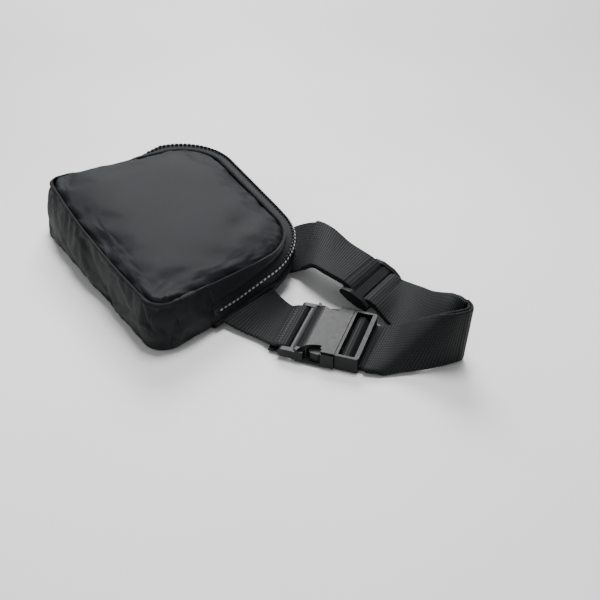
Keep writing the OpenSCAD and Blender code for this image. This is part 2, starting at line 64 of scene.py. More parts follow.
class Material:
    """A material with a principled shader, and short calls for its nodes."""

    def __init__(self, name, roughness, **settings):
        self.data = bpy.data.materials.new(name)
        self.data.use_nodes = True
        self.nodes = self.data.node_tree.nodes
        self.links = self.data.node_tree.links
        self.shader = self.nodes["Principled BSDF"]
        self.shader.inputs["Roughness"].default_value = roughness
        for key, value in settings.items():
            self.shader.inputs[key.replace("_", " ")].default_value = value
        self.height = None

    def link(self, source, target):
        self.links.new(source, target)

    def place(self, uv=False, scale=(1, 1, 1)):
        """Coordinates in millimetres: along the webbing (uv) or in the row frame."""
        source = self.nodes.new("ShaderNodeTexCoord")
        mapping = self.nodes.new("ShaderNodeMapping")
        grow = 1 if uv else 1 / MM
        mapping.inputs["Scale"].default_value = [grow * s for s in scale]
        self.link(source.outputs["UV" if uv else "Object"], mapping.inputs["Vector"])
        return mapping.outputs["Vector"]

    def noise(self, vector, scale, detail=3.0, rough=0.5):
        node = self.nodes.new("ShaderNodeTexNoise")
        node.inputs["Scale"].default_value = scale
        node.inputs["Detail"].default_value = detail
        node.inputs["Roughness"].default_value = rough
        self.link(vector, node.inputs["Vector"])
        return node.outputs["Fac"]

    def wave(self, vector, direction, period, distortion=0.0):
        """Bands across a direction, with the given distance from one to the next."""
        node = self.nodes.new("ShaderNodeTexWave")
        node.bands_direction = direction
        node.inputs["Scale"].default_value = math.pi / 10 / period
        node.inputs["Distortion"].default_value = distortion
        self.link(vector, node.inputs["Vector"])
        return node.outputs["Fac"]

    def math(self, operation, a, b):
        node = self.nodes.new("ShaderNodeMath")
        node.operation = operation
        for socket, value in zip(node.inputs, (a, b)):
            if isinstance(value, (int, float)):
                socket.default_value = value
            else:
                self.link(value, socket)
        return node.outputs[0]

    def ramp(self, factor, low, high, start=0.0, end=1.0):
        """Spreads the factor between start and end over two colours."""
        node = self.nodes.new("ShaderNodeValToRGB")
        node.color_ramp.elements[0].position = start
        node.color_ramp.elements[1].position = end
        node.color_ramp.elements[0].color = low
        node.color_ramp.elements[1].color = high
        self.link(factor, node.inputs["Fac"])
        return node.outputs["Color"]

    def colour(self, socket):
        self.link(socket, self.shader.inputs["Base Color"])

    def roughness(self, factor, low, high):
        node = self.nodes.new("ShaderNodeMapRange")
        node.inputs["To Min"].default_value = low
        node.inputs["To Max"].default_value = high
        self.link(factor, node.inputs["Value"])
        self.link(node.outputs["Result"], self.shader.inputs["Roughness"])

    def bump(self, factor, distance_mm, strength=1.0):
        node = self.nodes.new("ShaderNodeBump")
        node.inputs["Strength"].default_value = strength
        node.inputs["Distance"].default_value = distance_mm * MM
        self.link(factor, node.inputs["Height"])
        if self.height:
            self.link(self.height, node.inputs["Normal"])
        self.height = node.outputs["Normal"]
        self.link(self.height, self.shader.inputs["Normal"])


THREAD_STEP = 0.42      # from one thread of the nylon to the next
NYLON_ROUGHNESS = 0.62


def woven(name, dark, light, sheen):
    """Fine plain-woven nylon: crossing threads, soft sheen and slow colour changes."""
    m = Material(name, NYLON_ROUGHNESS, Sheen_Weight=sheen, Sheen_Roughness=0.45,
                 Specular_IOR_Level=0.17)
    at = m.place()
    slow = m.noise(at, 0.03, 4)
    fine = m.noise(at, 1.6, 2)
    m.colour(m.ramp(m.math("ADD", m.math("MULTIPLY", slow, 0.7), m.math("MULTIPLY", fine, 0.3)),
                    srgb(dark), srgb(light), 0.3, 0.7))
    over = m.wave(at, "X", THREAD_STEP)
    under = m.wave(at, "Y", THREAD_STEP)
    m.roughness(fine, NYLON_ROUGHNESS - 0.06, NYLON_ROUGHNESS + 0.08)
    m.bump(m.math("ADD", over, under), 0.05, 0.8)
    m.bump(m.noise(at, 1.1, 3), 0.12, 0.35)
    m.bump(m.noise(at, 0.12, 4), 0.5, 0.12)
    return m.data


def belt(name, dark, light):
    """Ribbed webbing: rows of weft across the belt, warp cords along it, with painted shade in
    the grooves between them.
    """
    m = Material(name, 0.7, Sheen_Weight=0.02, Sheen_Roughness=0.5, Specular_IOR_Level=0.18)
    at = m.place(uv=True)
    rows = m.wave(at, "Y", RIB, 0.25)
    cords = m.wave(at, "X", 1.9, 0.2)
    grid = m.math("MULTIPLY", rows, m.math("ADD", m.math("MULTIPLY", cords, 0.45), 0.55))
    mottled = m.noise(m.place(), 0.5, 3)
    # The colour follows the weave relief: painted shade darkens the grooves and the rib crests
    # are painted lighter, with mottled real tone on top.
    m.colour(m.ramp(m.math("ADD", m.math("MULTIPLY", grid, 0.8),
                           m.math("MULTIPLY", mottled, 0.25)), srgb(dark), srgb(light), 0.1, 0.9))
    m.roughness(grid, 0.8, 0.52)
    m.bump(grid, 0.3, 0.9)
    m.bump(m.wave(at, "X", 0.45), 0.05, 0.5)
    return m.data


def tape(name, dark, light):
    """Knitted zip tape: close ribs along the zip, with painted shade in the hollows of the knit.
    """
    m = Material(name, 0.75, Sheen_Weight=0.05, Specular_IOR_Level=0.25)
    at = m.place(uv=True)
    ribs = m.wave(at, "X", 0.7, 0.3)
    rows = m.wave(at, "Y", 0.9, 0.3)
    knit = m.math("MULTIPLY", ribs, rows)
    # Painted shade: the colour is darker in the knit's hollows and lighter on its ribs.
    m.colour(m.ramp(knit, srgb(dark), srgb(light)))
    m.bump(knit, 0.12, 0.7)
    return m.data


def plastic(name, dark, light, roughness, grain=0.02):
    """Moulded acetal: a satin skin with a fine spark texture and faint flow marks."""
    m = Material(name, roughness, Specular_IOR_Level=0.2)
    at = m.place()
    slow = m.noise(at, 0.08, 3)
    fine = m.noise(at, 3.5, 2)
    m.colour(m.ramp(slow, srgb(dark), srgb(light), 0.35, 0.65))
    m.roughness(m.noise(at, 0.4, 4), roughness - 0.06, roughness + 0.08)
    m.bump(fine, grain, 0.6)
    return m.data


def painted(name, colour, roughness):
    """Enamelled zip hardware, with rubbed patches."""
    m = Material(name, roughness, Specular_IOR_Level=0.6, Coat_Weight=0.2)
    at = m.place()
    worn = m.noise(at, 0.9, 5)
    m.colour(m.ramp(worn, srgb(colour), srgb("4b4d50"), 0.62, 0.8))
    m.roughness(worn, roughness, roughness + 0.2)
    m.bump(m.noise(at, 2.0, 3), 0.02, 0.5)
    return m.data


def thread_material(name, dark, light):
    """Twisted sewing thread."""
    m = Material(name, 0.6, Sheen_Weight=0.2, Specular_IOR_Level=0.4)
    at = m.place()
    m.colour(m.ramp(m.noise(at, 1.2, 2), srgb(dark), srgb(light), 0.3, 0.7))
    m.bump(m.wave(at, "DIAGONAL", 0.4), 0.05, 0.6)
    return m.data


PANEL = woven("panel_nylon", "0b0e11", "12161a", 0.01)
GUSSET = woven("gusset_nylon", "07090b", "0f1114", 0.015)
LINING = woven("back_nylon", "07090b", "0f1114", 0.015)
BELT = belt("belt_webbing", "020303", "181b1e")
TAPE = tape("zip_tape", "07080a", "1b1d20")
BINDING = tape("binding_tape", "0a0b0d", "1d1f22")
TEETH_DARK = plastic("zip_teeth_body", "101114", "1c1e21", 0.35)
# The light grey tooth heads are a painted highlight: the teeth are black plastic whose crests
# catch the light.
TEETH_PAINTED_HIGHLIGHT = plastic("zip_teeth_painted_highlight", "83888c", "a5a9ac", 0.4)
BUCKLE = plastic("buckle_acetal", "090a0c", "0e1012", 0.42)
ADJUSTER = plastic("adjuster_acetal", "0b0c0e", "121416", 0.42)
METAL = painted("zip_enamel", "0c0c0e", 0.35)
THREAD = thread_material("thread", "2b2e32", "4a4e53")


# ---------------------------------------------------------------- meshes
def piece(name, points, faces, material, uv=None, keep_sharp=None):
    """A smooth-shaded mesh object from points in millimetres. Edges sharper than the angle
    keep_sharp, in degrees, stay sharp."""
    data = bpy.data.meshes.new(name)
    data.from_pydata((np.asarray(points) * MM).tolist(), [], faces)
    data.validate()
    if uv is not None:
        layer = data.uv_layers.new(name="UVMap")
        loops = np.empty(len(data.loops), dtype=np.int32)
        data.loops.foreach_get("vertex_index", loops)
        layer.data.foreach_set("uv", np.asarray(uv, dtype=np.float32)[loops].ravel())
    for m in (material if isinstance(material, (list, tuple)) else [material]):
        data.materials.append(m)
    obj = bpy.data.objects.new(name, data)
    bpy.context.scene.collection.objects.link(obj)
    data.shade_smooth()
    if keep_sharp:
        with bpy.context.temp_override(object=obj, selected_editable_objects=[obj]):
            bpy.ops.object.shade_smooth_by_angle(angle=math.radians(keep_sharp))
    return obj


def distance_along(points):
    """The distance run along a line of points, at each point."""
    steps = np.linalg.norm(np.diff(points, axis=0), axis=1)
    return np.concatenate([[0], np.cumsum(steps)])


def grid_normals(p):
    """Unit normals of a grid of points, by the cross product of its two directions."""
    n = np.cross(np.gradient(p, axis=0), np.gradient(p, axis=1))
    return n / np.maximum(np.linalg.norm(n, axis=2, keepdims=True), 1e-9)


def shell(name, p, thickness, material, inside=1):
    """A sheet of cloth with its thickness: p is the outer face, inside is +1 or -1 for the
    side the thickness goes to. Returns the object."""
    rows, cols = p.shape[:2]
    inner = p - inside * thickness * grid_normals(p)
    points = np.concatenate([p.reshape(-1, 3), inner.reshape(-1, 3)])
    at = lambda i, j: i * cols + j
    m = rows * cols
    faces = []
    for i in range(rows - 1):
        for j in range(cols - 1):
            quad = [at(i, j), at(i + 1, j), at(i + 1, j + 1), at(i, j + 1)]
            faces.append(quad)
            faces.append([k + m for k in reversed(quad)])
    border = ([at(i, 0) for i in range(rows)] + [at(rows - 1, j) for j in range(1, cols)]
              + [at(i, cols - 1) for i in range(rows - 2, -1, -1)]
              + [at(0, j) for j in range(cols - 2, 0, -1)])
    for a, b in zip(border, border[1:] + border[:1]):
        faces.append([b, a, a + m, b + m])
    if inside < 0:
        faces = [f[::-1] for f in faces]
    run = distance_along(p[:, cols // 2])
    rise = distance_along(p[rows // 2])
    u, v = np.meshgrid(rise, run)
    uv = np.stack([u, v], axis=2).reshape(-1, 2)
    return piece(name, points, faces, material, np.concatenate([uv, uv]))


CLOTH_FRAMES = 18
CLOTH_STIFFNESS = 12


def puffed(p, pressure, grow, cap):
    """Runs the cloth simulation on a grid of points with its border sewn down, and returns
    the grid it settles in. No point moves further than cap."""
    rows, cols = p.shape[:2]
    faces = [[i * cols + j, (i + 1) * cols + j, (i + 1) * cols + j + 1, i * cols + j + 1]
             for i in range(rows - 1) for j in range(cols - 1)]
    obj = piece("cloth_trial", p.reshape(-1, 3), faces, PANEL)
    sewn = obj.vertex_groups.new(name="sewn")
    sewn.add([i * cols + j for i in range(rows) for j in range(cols)
              if i in (0, rows - 1) or j in (0, cols - 1)], 1, "REPLACE")
    mod = obj.modifiers.new("Cloth", "CLOTH")
    s = mod.settings
    s.quality = 6
    s.mass = 0.15
    s.tension_stiffness = s.compression_stiffness = CLOTH_STIFFNESS
    s.shear_stiffness = 4
    s.bending_stiffness = 0.4
    s.effector_weights.gravity = 0
    s.use_pressure = True
    s.uniform_pressure_force = pressure
    s.shrink_min = -grow
    s.vertex_group_mass = "sewn"
    mod.collision_settings.use_collision = False
    scene = bpy.context.scene
    for f in range(1, CLOTH_FRAMES + 1):
        scene.frame_set(f)
    done = obj.evaluated_get(bpy.context.evaluated_depsgraph_get()).data
    q = np.empty(len(done.vertices) * 3)
    done.vertices.foreach_get("co", q)
    q = q.reshape(p.shape) / MM
    scene.frame_set(1)
    bpy.data.objects.remove(obj, do_unlink=True)
    move = q - p
    size = np.linalg.norm(move, axis=2, keepdims=True)
    return p + move * np.minimum(1, cap / np.maximum(size, 1e-9))


def ripple(x, y, z, scale):
    return noise.noise(Vector((x / scale, y / scale, z / scale)))


# ---------------------------------------------------------------- outlines of the bag
SEAM = [((68, -45), 9), ((28, 16), 35.5), ((-46, 25), 29), ((-69, -46), 8)]
BASE = [((63, -43), 12), ((31, 14), 34), ((-46, 22), 28), ((-72, -48), 12)]
ARC = SIDE = 8
LAP = 4 * (ARC + SIDE)
HINGE_NEAR, HINGE_FAR, ZIP_FAR = 11, 45, 47
DEPTH = 38
BULGE = 4
FABRIC = 1.2
PANEL_T = 1.6      # the panel has a layer of foam in it
STRIP_T = 0.9
TAPE_T = 0.8
TAPE_W = 5
HALF_GAP = 2.4
PITCH = 3
ZIP_OUT = [(11, 3), (13, 3.5), (16, 4.5), (19, 6), (22, 7), (40, 7), (41.5, 6), (43, 3.6),
           (47, 3)]
ZIP_UP = [(11, -19), (13, -16.5), (16, -10), (19, -5.5), (22, -2), (25, 0), (36, 1),
          (40, 1.5), (41, -0.5), (42, -4.5), (43, -10), (45, -12.5), (47, -15)]
LEAN = [(11, 0.05), (16, 0.1), (22, 0.25), (40, 0.25), (43, 0.07), (47, 0.05)]
BULGE_SHARE = [(47, 0.35), (52, 1), (70, 1), (75, 0.65)]


def look_up(x, table):
    return float(np.interp(x, [t[0] for t in table], [t[1] for t in table]))


def unit(v):
    return v / np.linalg.norm(v)


def mix(a, b, t):
    return a * (1 - t) + b * t


def side_angle(corners, i):
    (ca, ra), (cb, rb) = corners[i % 4], corners[(i + 1) % 4]
    v = np.subtract(cb, ca)
    length = np.hypot(*v)
    u, k = v / length, (ra - rb) / length
    n = k * u + math.sqrt(1 - k * k) * np.array([u[1], -u[0]])
    return math.atan2(n[1], n[0])


def corner_angle(corners, c, t):
    a0, a1 = side_angle(corners, c + 3), side_angle(corners, c)
    while a1 < a0:
        a1 += 2 * math.pi
    return mix(a0, a1, t)


def on_corner(corners, c, t):
    a = corner_angle(corners, c, t)
    centre, radius = corners[c % 4]
    return np.add(centre, radius * np.array([math.cos(a), math.sin(a)]))


def corner_place(i):
    k = i % LAP
    c = int(k // (ARC + SIDE))
    return c, k - c * (ARC + SIDE)


def outline(corners, i):
    c, j = corner_place(i)
    if j <= ARC:
        return on_corner(corners, c, j / ARC)
    return mix(on_corner(corners, c, 1), on_corner(corners, c + 1, 0), (j - ARC) / SIDE)


def outward(i):
    c, j = corner_place(i)
    a = corner_angle(SEAM, c, min(j / ARC, 1))
    return np.array([math.cos(a), math.sin(a), 0])


def seam_z(x, y):
    u, v = (x + 78) / 156, (y + 55) / 108
    return DEPTH - mix(4 * u, mix(4, 12, u), v)


def base_z(y):
    return 0.05 * (y + 60)


def seam(i):
    x, y = outline(SEAM, i)
    bow = 3 * max(0, 1 - (x / 70) ** 2) if y < -50 else 0
    return np.array([x, y - bow, seam_z(x, y)])


def base(i):
    x, y = outline(BASE, i)
    return np.array([x, y, base_z(y)])


def zip_line(i):
    return seam(i) + outward(i) * look_up(i, ZIP_OUT) + UP * look_up(i, ZIP_UP)


def dir_low(i):
    return unit(outward(i) * look_up(i, LEAN) + UP)


def dir_up(i):
    return unit(seam(i) - zip_line(i))


def out_of(i, d):
    """The direction out of the bag, square to a direction d in the cross-section."""
    return outward(i) * d[2] - UP * (d @ outward(i))


def upper_edge(i):
    room = np.linalg.norm(seam(i) - zip_line(i)) - 0.6
    return zip_line(i) + dir_up(i) * min(HALF_GAP + TAPE_W, room)


def lower_edge(i):
    return zip_line(i) - dir_low(i) * (HALF_GAP + TAPE_W)


def wall_low(i, s):
    return mix(base(i), lower_edge(i), s) + outward(i) * BULGE * 2.4 * s * (1 - s)


def wall_full(i, s):
    share = BULGE * look_up(i, BULGE_SHARE)
    return mix(base(i), seam(i), s) + outward(i) * share * 4 * s * (1 - s)


def crown_at(x, y):
    u, v = x / 78, (y + 1) / 55
    return 6 * max(0, 1 - u ** 4) * max(0, 1 - v ** 4)


# ---------------------------------------------------------------- front panel
def spaced(n, ends=0.35):
    """n + 1 numbers from 0 to 1, closer together at both ends."""
    t = np.linspace(0, 1, n + 1)
    return mix(t, 0.5 - 0.5 * np.cos(math.pi * t), ends)


def dent(x, y, cx, cy, rx, ry, turn, depth):
    """A soft hollow: an ellipse with its long axis turned, in degrees."""
    a = math.radians(turn)
    dx, dy = x - cx, y - cy
    u, v = dx * math.cos(a) + dy * math.sin(a), dy * math.cos(a) - dx * math.sin(a)
    return -depth * math.exp(-(u / rx) ** 2 - (v / ry) ** 2)


def panel_rise(x, y, edge):
    """Height over the seam's own surface. edge is the distance in from the seam."""
    soft = 1 - math.exp(-edge / 9)
    lip = 5.2 * (1 - (1 - min(edge / 4.2, 1)) ** 3) - 3.6
    z = crown_at(x, y) * soft * 0.9 + lip
    z += dent(x, y, 61, 4, 17, 7, 60, 3.0) * soft
    z += dent(x, y, 33, 25, 14, 7, 130, 2.6) * soft
    z -= dent(x, y, 51, 29, 20, 5, 40, 1.8) * soft
    z += dent(x, y, 62, -30, 22, 5, 90, 1.2) * soft
    z -= dent(x, y, 58, -38, 14, 10, 0, 1.0) * soft
    z += dent(x, y, -58, -10, 26, 10, 95, 1.2) * soft
    z += 0.7 * ripple(x, y, 3, 34) * soft
    pucker = math.exp(-edge / 5) * (1.5 * ripple(x, y, 9, 7.5) + 0.9 * ripple(x, y, 17, 3.4))
    return z + pucker


def front_panel():
    nu, nv = 88, 64
    us, vs = spaced(nu), spaced(nv)
    bottom = [seam(52 + 16 * u)[:2] for u in us]
    top = [seam(36 - 16 * u)[:2] for u in us]
    near = [seam(4 + 16 * v)[:2] for v in vs]
    far = [seam(52 - 16 * v)[:2] for v in vs]
    p = np.zeros((nu + 1, nv + 1, 3))
    for a, u in enumerate(us):
        for b, v in enumerate(vs):
            p[a, b, :2] = (mix(bottom[a], top[a], v) + mix(far[b], near[b], u)
                           - mix(mix(bottom[0], bottom[-1], u), mix(top[0], top[-1], u), v))
    ring = np.array([seam(i / 4)[:2] for i in range(4 * LAP)])
    for a in range(nu + 1):
        for b in range(nv + 1):
            x, y = p[a, b, :2]
            edge = 0 if a in (0, nu) or b in (0, nv) else np.hypot(*(ring - (x, y)).T).min()
            p[a, b, 2] = seam_z(x, y) + panel_rise(x, y, edge)
    settled = puffed(p, 0.6, 0.012, 1.6)
    obj = shell("front_panel", settled, PANEL_T, PANEL)
    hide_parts("front_panel_lower", "front_panel_upper")
    return obj


# ---------------------------------------------------------------- walls
def wall(from_, to, steps, rows, place, wrinkle):
    """A grid of points for cloth from station from_ to station to. place(i, s) is its plain
    surface, and wrinkle(i, s, point) moves it outwards."""
    stations = np.linspace(from_, to, int((to - from_) * steps) + 1)
    p = np.array([[place(i, s) for s in np.linspace(0, 1, rows)] for i in stations])
    for a, i in enumerate(stations):
        for b, s in enumerate(np.linspace(0, 1, rows)):
            p[a, b] += outward(i) * wrinkle(i, s, p[a, b])
    return p


def gusset_wrinkle(i, s, q):
    """Puckers below the front seam, long soft folds lower down, and a rolled seam lip."""
    x, y, z = q
    free = min(1, 12 * s, 14 * (1 - s))
    along = x * 0.9 + y * 0.9
    puckers = math.exp(-(1 - s) * 7) * (1.9 * ripple(along, 0, s * 5, 7)
                                        + 1.1 * ripple(along, 5, s * 4, 3))
    folds = 1.5 * ripple(along * 0.7, z, 40, 24) + 0.5 * ripple(along, z * 1.4, 11, 10)
    creases = -0.7 * max(0, 0.22 - abs(ripple(along * 0.6, z * 1.3, 77, 26))) / 0.22
    lip = 1.2 * math.exp(-((1 - s) / 0.06) ** 2)
    soft = puckers + folds * (0.35 + 0.65 * (1 - s)) + creases
    return free * soft + lip * min(1, 14 * (1 - s))


def strip_wrinkle(i, s, q):
    x, y, z = q
    free = min(1, 10 * s, 6 * (1 - s))
    along = x * 0.9 + y * 0.9
    soft = 0.9 * ripple(along, z, 21, 15) + 0.4 * ripple(along, z, 5, 7)
    return free * soft + 0.5 * (s > 0.93)


def bottom_gusset():
    p = wall(ZIP_FAR, HINGE_NEAR + LAP, 7, 26, wall_full, gusset_wrinkle)
    obj = shell("bottom_gusset", puffed(p, 0.5, 0.02, 1.5), FABRIC, GUSSET, -1)
    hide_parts("bottom_gusset")
    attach(obj, "bag")


def zip_strip_lower():
    p = wall(HINGE_NEAR, ZIP_FAR, 6, 16, wall_low, strip_wrinkle)
    obj = shell("zip_strip_lower", puffed(p, 0.4, 0.012, 1.0), FABRIC, GUSSET, -1)
    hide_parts("zip_strip_lower")
    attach(obj, "bag")


def strip_up(i, s):
    """The strip between the front seam (s = 1) and the folded edge that covers the tape."""
    low, high = upper_edge(i), seam(i)
    wide = np.linalg.norm(high - low)
    start = low - dir_up(i) * min(1.2, wide)
    out = out_of(i, dir_up(i))
    swell = 1.3 * math.exp(-s * wide / 1.4) + 0.25 * math.sin(math.pi * s) * wide / 6
    return mix(start, high, s) + out * swell - UP * 0.5 * (s > 0.98)


def upper_wrinkle(i, s, q):
    x, y, z = q
    return min(1, 5 * s, 5 * (1 - s)) * 0.35 * ripple(x * 0.9 + y * 0.9, z, 61, 8)


def tape_low(i, s):
    edge = lower_edge(i) - dir_low(i) * 1.0
    return mix(edge, zip_line(i) - dir_low(i) * 0.4, s) + outward(i) * -0.25


def tape_up(i, s):
    edge = upper_edge(i)
    return mix(zip_line(i) + dir_up(i) * 0.4, edge, s) - out_of(i, dir_up(i)) * 0.25


def unwrinkled(i, s, q):
    return 0


def zip_sides():
    """Strips and tapes of the flap, and the same on the sewn end that stays closed."""
    for part, a, b in (("flap", HINGE_NEAR, HINGE_FAR), ("end", HINGE_FAR, ZIP_FAR)):
        strip = wall(a, b, 6, 9, strip_up, upper_wrinkle)
        tape_ = wall(a, b, 6, 6, tape_up, unwrinkled)
        strip_piece = shell(f"zip_strip_{part}", strip, STRIP_T, GUSSET, -1)
        tape_piece = shell(f"zip_tape_{part}", tape_, TAPE_T, TAPE, -1)
        if part == "flap":
            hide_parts("zip_strip_upper")
            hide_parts("zip_tape_upper")
            on_flap(strip_piece)
            on_flap(tape_piece)
        else:
            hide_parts("zip_closed_end")
            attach(strip_piece, "bag")
            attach(tape_piece, "bag")
    lower = wall(HINGE_NEAR, ZIP_FAR, 6, 6, tape_low, unwrinkled)
    lower_piece = shell("zip_tape_lower", lower, TAPE_T, TAPE, -1)
    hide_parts("zip_tape_lower")
    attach(lower_piece, "bag")


def on_flap(obj):
    """Bakes the piece's transform into its mesh."""
    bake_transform(obj)


# ---------------------------------------------------------------- zip teeth
def zip_runs():
    """Points along the zip at a fine step, with their stations and the distance run."""
    stations = np.linspace(HINGE_NEAR, ZIP_FAR, 1 + (ZIP_FAR - HINGE_NEAR) * 12)
    line = np.array([zip_line(i) for i in stations])
    run = distance_along(line)
    return stations, line, run


ZIP_STATIONS, ZIP_POINTS, ZIP_RUN = zip_runs()


def zip_frame(s):
    i = float(np.interp(s, ZIP_RUN, ZIP_STATIONS))
    p = np.array([np.interp(s, ZIP_RUN, ZIP_POINTS[:, k]) for k in range(3)])
    t = unit(zip_line(min(i + 0.1, ZIP_FAR)) - zip_line(i - 0.1))
    n = unit(np.cross(t, unit(dir_low(i) + dir_up(i))))
    return p, t, np.cross(n, t), n


def rounded_box(x0, x1, y0, y1, z0, z1, r):
    """A box with cut corners all round: 24 points."""
    c, h = np.array([x0 + x1, y0 + y1, z0 + z1]) / 2, np.array([x1 - x0, y1 - y0, z1 - z0]) / 2
    bm = bmesh.new()
    bmesh.ops.create_cube(bm, size=2)
    for v in bm.verts:
        v.co = Vector(c + np.array(v.co) * h)
    bmesh.ops.bevel(bm, geom=bm.edges[:], offset=r, segments=2, profile=0.6, affect="EDGES")
    points = np.array([v.co[:] for v in bm.verts])
    faces = [[v.index for v in f.verts] for f in bm.faces]
    bm.free()
    return points, faces


def joined(parts):
    """Joins lists of (points, faces, material number)."""
    points, faces, numbers = [], [], []
    start = 0
    for p, f, k in parts:
        points.append(p)
        faces += [[a + start for a in face] for face in f]
        numbers += [k] * len(f)
        start += len(p)
    return np.concatenate(points), faces, numbers


def tooth_shape(side):
    """A moulded element: two legs that grip the tape, a neck and a rounded head, painted light
    grey on the upper row as a painted highlight on black plastic.
    """
    foot = rounded_box(-0.95, 0.95, 1.0, 2.1, -0.75, 0.55, 0.25)
    neck = rounded_box(-0.55, 0.55, 0.2, 1.3, -0.6, 0.45, 0.2)
    head = rounded_box(-0.95, 0.95, -0.62, 0.52, -0.5, 0.78, 0.3)
    # Material 1 is the painted highlight, given to the heads of the upper row.
    parts = [(*foot, 0), (*neck, 0), (*head, 1 if side > 0 else 0)]
    points, faces, numbers = joined(parts)
    if side < 0:
        points = points * [1, -1, 1]
        points[:, 2] -= 0.12
        faces = [f[::-1] for f in faces]
    return points, faces, numbers


def tooth_row(name, side, start, end, node=None):
    shape, faces, numbers = tooth_shape(side)
    parts, all_numbers = [], []
    first = start + (PITCH / 2 if side > 0 else 0)
    for s in np.arange(first, end, PITCH):
        p, t, q, n = zip_frame(s)
        parts.append((p + shape @ np.array([t, q, n]), faces, 0))
        all_numbers += numbers
    points, all_faces, _ = joined(parts)
    obj = piece(name, points, all_faces, [TEETH_DARK, TEETH_PAINTED_HIGHLIGHT], keep_sharp=35)
    obj.data.polygons.foreach_set("material_index", all_numbers)
    if node:
        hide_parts(node)
    return obj


# ---------------------------------------------------------------- stitches
STITCH, STITCH_GAP, STITCH_R = 1.7, 0.6, 0.22


def stitch_row(name, points, normals, body):
    """Short rounded stitches along a line of points, half sunk in the cloth."""
    points, normals = np.asarray(points), np.asarray(normals)
    run = distance_along(points)
    at = lambda s: np.array([np.interp(s, run, points[:, k]) for k in range(3)])
    up_at = lambda s: unit(np.array([np.interp(s, run, normals[:, k]) for k in range(3)]))
    parts = []
    sides, rings = 6, 5
    for s in np.arange(0, run[-1] - STITCH, STITCH + STITCH_GAP):
        a, b, up = at(s), at(s + STITCH), up_at(s + STITCH / 2)
        along = unit(b - a)
        side = unit(np.cross(along, up))
        ring_points = []
        for k in range(rings):
            u = k / (rings - 1)
            c = mix(a, b, u) + up * STITCH_R * (1.5 * math.sin(math.pi * u) - 0.5)
            r = STITCH_R * (0.55 + 0.45 * math.sin(math.pi * u))
            ring_points += [c + r * (math.cos(w) * side + math.sin(w) * up)
                            for w in np.arange(sides) * 2 * math.pi / sides]
        f = [[k * sides + j, k * sides + (j + 1) % sides, (k + 1) * sides + (j + 1) % sides,
              (k + 1) * sides + j] for k in range(rings - 1) for j in range(sides)]
        f += [list(range(sides))[::-1], [(rings - 1) * sides + j for j in range(sides)]]
        parts.append((np.array(ring_points), f, 0))
    p, f, _ = joined(parts)
    obj = piece(name, p, f, THREAD)
    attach(obj, body)


# ---------------------------------------------------------------- belt
WEB_W, WEB_T, GAP = 38, 1.6, 0.15
LAYER = (WEB_T + GAP) / 2
BUCKLE_AT = np.array([125.3, 37.4, 0.6])
BUCKLE_TURN = math.radians(38.5)
BAR_U, BAR_W, BAR_R = -29.6, 4.2, 1.2
MALE_BAR_U, MALE_BAR_W, MALE_BAR_R = 5.6, 4.6, 1.3
OUT_W = 2.1
ADJ_AT = np.array([97, 76, 10.5])
ADJ_X = np.array([0.847025, 0.37712, -0.374607])
ADJ_Y = np.array([-0.450406, 0.88345, -0.129039])
ADJ_Z = np.array([0.282283, 0.278024, 0.918161])
WAVE_TOP, WAVE_LOW = 1.9, -1.6


def polar(az, el):
    a, e = math.radians(az), math.radians(el)
    return np.array([math.cos(e) * math.cos(a), math.cos(e) * math.sin(a), math.sin(e)])


def bk(u, v, w):
    c, s = math.cos(BUCKLE_TURN), math.sin(BUCKLE_TURN)
    return BUCKLE_AT + [u * c - v * s, u * s + v * c, w]


def bk_at(u, w):
    return [*bk(u, 0, w), math.degrees(BUCKLE_TURN) + 90, 0]


def adj_at(x, z):
    azimuth = math.degrees(math.atan2(ADJ_Y[1], ADJ_Y[0]))
    return [*(ADJ_AT + ADJ_X * x + ADJ_Z * z), azimuth, math.degrees(math.asin(ADJ_Y[2]))]


def arc_at(cu, cw, r, angles):
    return [bk_at(cu + r * math.cos(math.radians(a)), cw + r * math.sin(math.radians(a)))
            for a in angles]


NEAR_ROUTE = ([[71.4, 6.6, 7, 99, 6], [78.3, 10.2, 4.4, 114, 3], [86.3, 13.6, 3.2, 124, 0],
               [94.6, 15.2, 4.1, 128.5, -1], bk_at(-33.5, 5.8)]
              + arc_at(BAR_U, BAR_W, BAR_R + GAP + WEB_T / 2, [90, 60, 30, 0, -30, -60, -90])
              + [bk_at(-34, 1.5), bk_at(-38.5, 1)])
MALE_ROUTE = ([bk_at(14.6, OUT_W + LAYER), bk_at(11, OUT_W + LAYER), bk_at(9, 3.5)]
              + arc_at(MALE_BAR_U, MALE_BAR_W, MALE_BAR_R + GAP + WEB_T / 2,
                       [20, 55, 90, 125, 160, 200, 240, 270])
              + [bk_at(8, 1.7), bk_at(11, OUT_W - LAYER), bk_at(14.6, OUT_W - LAYER)])
FRONT_ROUTE = [bk_at(15.2, OUT_W), bk_at(17, OUT_W + 0.2), [141.2, 48.2, 4.4, 123, 4],
               [148, 53.4, 7.4, 115, 14], [156.5, 56.5, 13.4, 98, 38], [164.6, 63, 18.4, 80, 64],
               [169.2, 71.6, 19.8, 50, 80], [171, 80, 19.8, -20, 84]]
FOLD_ROUTE = [[171, 80, 19.8, -20, 84], [171.2, 82.5, 19.8, -20, 84],
              [170.2, 84.6, 19.8, -20, 84], [168.4, 85.2, 19.8, 0, 86],
              [166.6, 84.4, 19.7, 60, 84], [165, 82.6, 19.4, 80, 80],
              [159.5, 80.3, 18.6, 96, 66], [148.5, 80.3, 13.4, 110, 38], [136, 82, 8.6, 115, 20],
              [124.5, 84, 6, 117, 9], [115.8, 83.2, 5.6, 118, 2], adj_at(14.6, WAVE_TOP)]
ARCH_ROUTE = [adj_at(-13.8, WAVE_TOP), [74, 68, 18.6, 122, -4], [60, 66, 19.6, 127, 6],
              [49, 64, 15.6, 131, 19], [38, 58.5, 9.4, 133, 21], [26, 48, 3.9, 134, 5],
              [15, 39, 3, 134, 0]]
